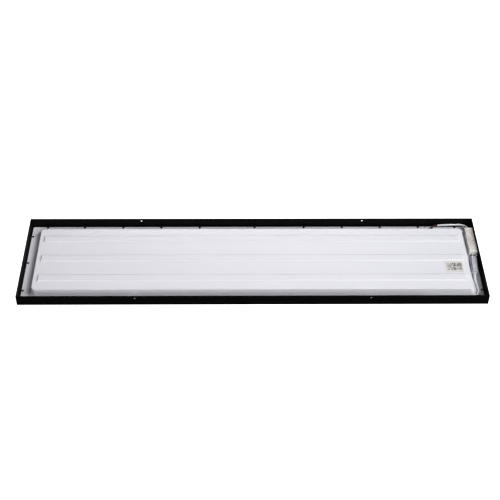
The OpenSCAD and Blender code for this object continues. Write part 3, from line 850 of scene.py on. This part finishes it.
def make_rail(node_name, place, half, mat):
    """One mitred rail. place(along, inset, z) gives a point, and half is half the rail's outer length."""
    section = rail_section()
    size = len(section)
    verts = [place(side * (half - p.x - MITRE_GAP), p.x, p.y) for side in (-1, 1) for p in section]
    faces = [(k, (k + 1) % size, size + (k + 1) % size, size + k) for k in range(size)]
    faces.append(tuple(reversed(range(size))))
    faces.append(tuple(range(size, 2 * size)))
    piece = new_piece(node_name + "_rail", verts, faces, mat, "frame_black", [node_name])
    made = bmesh.new()
    made.from_mesh(piece.data)
    bmesh.ops.recalc_face_normals(made, faces=made.faces[:])
    made.to_mesh(piece.data)
    made.free()
    return piece


def bracket_holes(side):
    """Cutters for the bracket holes in one long rail, placed by the record's mount."""
    mounts = [m for m in frame["record"]["mounts"] if m["kind"] == "bolt_pattern"]
    mount = next(m for m in mounts if m["pos_m"][1] * side > 0)
    spacing = mount["dims"]["spacing_x_mm"] * MM
    height = mount["pos_m"][2]
    outside = side * (HALF_W + MM)
    within = side * (HALF_W - 2 * WALL_T)
    return [
        rod("hole", (x, outside, height), (x, within, height), SIDE_HOLE_R)
        for x in (-spacing / 2, spacing / 2)
    ]


def make_frame(mat):
    """Two long rails with bracket holes, and two short ones."""
    for side, name in ((-1, "frame_side_near"), (1, "frame_side_far")):
        piece = make_rail(name, lambda a, d, z, s=side: Vector((a, s * (HALF_W - d), z)), HALF_L, mat)
        cut(piece, bracket_holes(side))
        smooth(piece)
    for side, name in ((-1, "frame_end_left"), (1, "frame_end_right")):
        make_rail(name, lambda a, d, z, s=side: Vector((s * (HALF_L - d), a, z)), HALF_W, mat)


FRAME_BLACK = powder_black()
make_frame(FRAME_BLACK)

# -------------------------------------------------------------------------------- driver

CASE_WHITE = soft_plastic("case_white", (0.70, 0.69, 0.67), 0.4, grain=600, mottle=0.03)
CASE_EDGE_R = 0.9 * MM
HALF_SEAM = 0.15 * MM
FILM_EDGE_R = 0.05 * MM
# A bush's profile, as shares of its length and radius
BUSH_COLLAR = ((0, 1), (0.25, 1))
BUSH_GROOVE = ((0, 0.86), (0.1, 0.86), (0.14, 0.95))
BUSH_GROOVE_PLACES = (0.3, 0.6)
BUSH_TIP = ((0.96, 0.9), (1, 0.78))


def make_driver():
    """The driver's case in two parts with a seam between them, and its label."""
    base_low, base_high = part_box("driver_base")
    cover_low, cover_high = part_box("driver_cover")
    to_seam = Vector((0, 0, HALF_SEAM))
    rounded_box(
        "driver_case_lower", base_low, base_high - to_seam, CASE_EDGE_R, CASE_WHITE,
        slot="case_white", replaces=["driver_base"],
    )
    rounded_box(
        "driver_case_upper", cover_low + to_seam, cover_high, CASE_EDGE_R, CASE_WHITE,
        slot="case_white", replaces=["driver_cover"],
    )
    label_low, label_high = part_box("driver_label")
    film = printed("driver_label_film", (0.62, 0.59, 0.57), (0.22, 0.17, 0.14), label_low, [
        (2, 16.5, 54, 82, 2.6, 4.5, 0.45, 0.5),
        (2, 16.5, 34, 52, 3.4, 3.0, 0.4, 0.6),
        (2, 16.5, 18, 32, 2.6, 6.0, 0.5, 0.45),
    ])
    rounded_box(
        "driver_film", label_low, label_high, FILM_EDGE_R, film, steps=1,
        slot="driver_label_film", replaces=["driver_label"],
    )


def make_bush(node_name, axis):
    """A round bush with two grooves at an end of the driver."""
    low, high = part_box(node_name)
    centre = (low + high) / 2
    start = Vector((centre.x, low.y if axis[1] > 0 else high.y, centre.z))
    length = high.y - low.y
    radius = (high.x - low.x) / 2
    profile = grooved_profile(BUSH_COLLAR, BUSH_GROOVE, BUSH_GROOVE_PLACES, BUSH_TIP, length, radius)
    lathe(
        node_name + "_ribbed", profile, start, axis, CASE_WHITE,
        slot="case_white", replaces=[node_name],
    )


make_driver()
make_bush("driver_bush_out", (0, 1, 0))
make_bush("driver_bush_in", (0, -1, 0))

# ------------------------------------------------------------------------- rating label


def make_rating_label():
    """Paper on the plateau with three columns of bars, the middle one in two dark blocks."""
    low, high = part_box("rating_label")
    film = printed("rating_film", (0.63, 0.61, 0.60), (0.06, 0.055, 0.055), low, [
        (5, 19, 8, 35, 2.6, 3.2, 0.35, 0.65),
        (20, 28, 22, 35, 4.4, 9.0, 0.0, 0.95),
        (20, 28, 8, 20, 3.7, 9.0, 0.0, 0.95),
        (30, 44, 21, 35, 3.0, 4.0, 0.3, 0.9),
        (30, 44, 8, 19, 3.0, 3.0, 0.35, 0.9),
    ])
    rounded_box(
        "rating_film", low, high, FILM_EDGE_R, film, steps=1,
        slot="label_paper", replaces=["rating_label"],
    )


make_rating_label()

# ------------------------------------------------------------------------- carried nodes

OPAL = opal_sheet()
SCREW_BLACK = soft_plastic("screw_black", (0.012, 0.012, 0.013), 0.34, grain=1200, mottle=0.15)
RUBBER = soft_plastic("rubber_black", (0.014, 0.014, 0.014), 0.6, grain=900, mottle=0.15)
KEY_METAL = bright_metal("key_metal", (0.7, 0.7, 0.71), 0.35, stretch=(1, 1, 0.1))
TAPE = soft_plastic("tape_white", (0.7, 0.7, 0.7), 0.6, grain=400, mottle=0.05)
BOARD = soft_plastic("board_white", (0.75, 0.75, 0.76), 0.35, grain=500, mottle=0.03)
PHOSPHOR = soft_plastic("led_phosphor", (0.72, 0.58, 0.18), 0.4, grain=900, mottle=0.08)
CLEAR = soft_plastic("lens_clear", (0.9, 0.9, 0.9), 0.1, grain=400, mottle=0.02, Transmission_Weight=0.85)
NYLON = soft_plastic("plug_cream", (0.72, 0.68, 0.58), 0.4, grain=500, mottle=0.05)
BOARD_GREEN = soft_plastic("pcb_green", (0.02, 0.13, 0.05), 0.35, grain=300, mottle=0.15)
FERRITE = soft_plastic("ferrite", (0.05, 0.05, 0.055), 0.5, grain=500, mottle=0.2)
CAN = soft_plastic("capacitor_sleeve", (0.02, 0.03, 0.09), 0.3, grain=500, mottle=0.1)
COPPER = bright_metal("choke_copper", (0.62, 0.28, 0.12), 0.25)
SWITCH = soft_plastic("switch_black", (0.02, 0.02, 0.02), 0.35, grain=500, mottle=0.1)
SMOKE = smoked_plastic()
BRASS = bright_metal("brass", (0.72, 0.52, 0.22), 0.25, stretch=(1, 0.2, 1))
ZINC = bright_metal("zinc", (0.66, 0.66, 0.66), 0.3)

CARRIED = {
    OPAL: ["diffuser"],
    SCREW_BLACK: ["tray_screws_near", "tray_screws_far", "tray_screws_left", "tray_screws_right"],
    RUBBER: ["tray_grommet"],
    KEY_METAL: [
        "corner_key_near_left", "corner_key_near_right", "corner_key_far_left", "corner_key_far_right",
    ],
    TAPE: ["board_tapes", "driver_tape"],
    BOARD: ["led_board_near", "led_board_mid", "led_board_far"],
    PHOSPHOR: ["led_chips_near", "led_chips_mid", "led_chips_far"],
    CLEAR: ["lenses_near", "lenses_mid", "lenses_far"],
    NYLON: ["board_connectors", "terminal_block"],
    WIRE_RED: ["link_wires_red", "feed_wire_red"],
    WIRE_BLACK: ["link_wires_black", "feed_wire_black"],
    BOARD_GREEN: ["driver_board"],
    FERRITE: ["driver_transformer"],
    CAN: ["driver_capacitors"],
    COPPER: ["driver_choke"],
    SWITCH: ["driver_switch"],
    SMOKE: ["joint_box_body", "joint_box_lid"],
    BRASS: ["terminal_sleeves"],
    ZINC: ["terminal_screws"],
}


def dress_carried_nodes():
    """Gives each CAD node that is shown as it is its own material."""
    for mat, names in CARRIED.items():
        for name in names:
            NODES[name].data.materials.clear()
            NODES[name].data.materials.append(mat)


dress_carried_nodes()

# --------------------------------------------------------------------- stage and lights

FLOOR_SIZE = 60
FLOOR_DROP = 0.3 * MM
FLOOR_GLOW = 1.1


def make_floor():
    """A white sweep: it looks evenly lit, but casts little light back on the frame's walls."""
    mat = new_material("floor_pale", (0.15, 0.15, 0.15), 0.9, Specular_IOR_Level=0.1)
    shader_of(mat).inputs["Emission Color"].default_value = (1, 1, 1, 1)
    seen = node(mat, "ShaderNodeLightPath").outputs["Is Camera Ray"]
    put(mat, shader_of(mat).inputs["Emission Strength"], maths(mat, "MULTIPLY", seen, FLOOR_GLOW))
    half = FLOOR_SIZE / 2
    corners = [(-half, -half), (half, -half), (half, half), (-half, half)]
    mesh = bpy.data.meshes.new("floor")
    mesh.from_pydata([(x, y, -FLOOR_DROP) for x, y in corners], [], [(0, 1, 2, 3)])
    mesh.materials.append(mat)
    floor = bpy.data.objects.new("floor", mesh)
    bpy.context.scene.collection.objects.link(floor)


# Softboxes: azimuth and elevation in degrees, distance and side in metres, power in watts
SOFTBOXES = {
    "front_right": (-60, 30, 9, 3.6, 219),
    "right": (0, 30, 9, 3.6, 332),
    "right_high": (0, 55, 9, 3.6, 195),
    "back": (90, 30, 9, 3.6, 168),
    "front": (-90, 22, 4, 1.6, 54),
}
ROOM_GLOW = 0.03


def make_softbox(name, azimuth, elevation, distance, side, watts):
    """A square light that faces the middle of the panel."""
    level = math.cos(math.radians(elevation))
    away = Vector((
        level * math.cos(math.radians(azimuth)),
        level * math.sin(math.radians(azimuth)),
        math.sin(math.radians(elevation)),
    ))
    data = bpy.data.lights.new(name, "AREA")
    data.shape = "SQUARE"
    data.size = side
    data.energy = watts
    light = bpy.data.objects.new(name, data)
    light.location = distance * away
    light.rotation_euler = away.to_track_quat("Z", "Y").to_euler()
    bpy.context.scene.collection.objects.link(light)


def make_world():
    """A faint even glow all round."""
    world = bpy.data.worlds.new("studio")
    world.use_nodes = True
    background = world.node_tree.nodes["Background"]
    background.inputs["Color"].default_value = (1, 1, 1, 1)
    background.inputs["Strength"].default_value = ROOM_GLOW
    bpy.context.scene.world = world


def make_lights():
    """Softboxes in front, to the right and behind but none to the left, and the view's contrast."""
    for name, facts in SOFTBOXES.items():
        make_softbox(name, *facts)
    make_world()
    view = bpy.context.scene.view_settings
    view.view_transform = "Standard"
    view.look = "High Contrast"
    view.exposure = 0


make_floor()
make_lights()
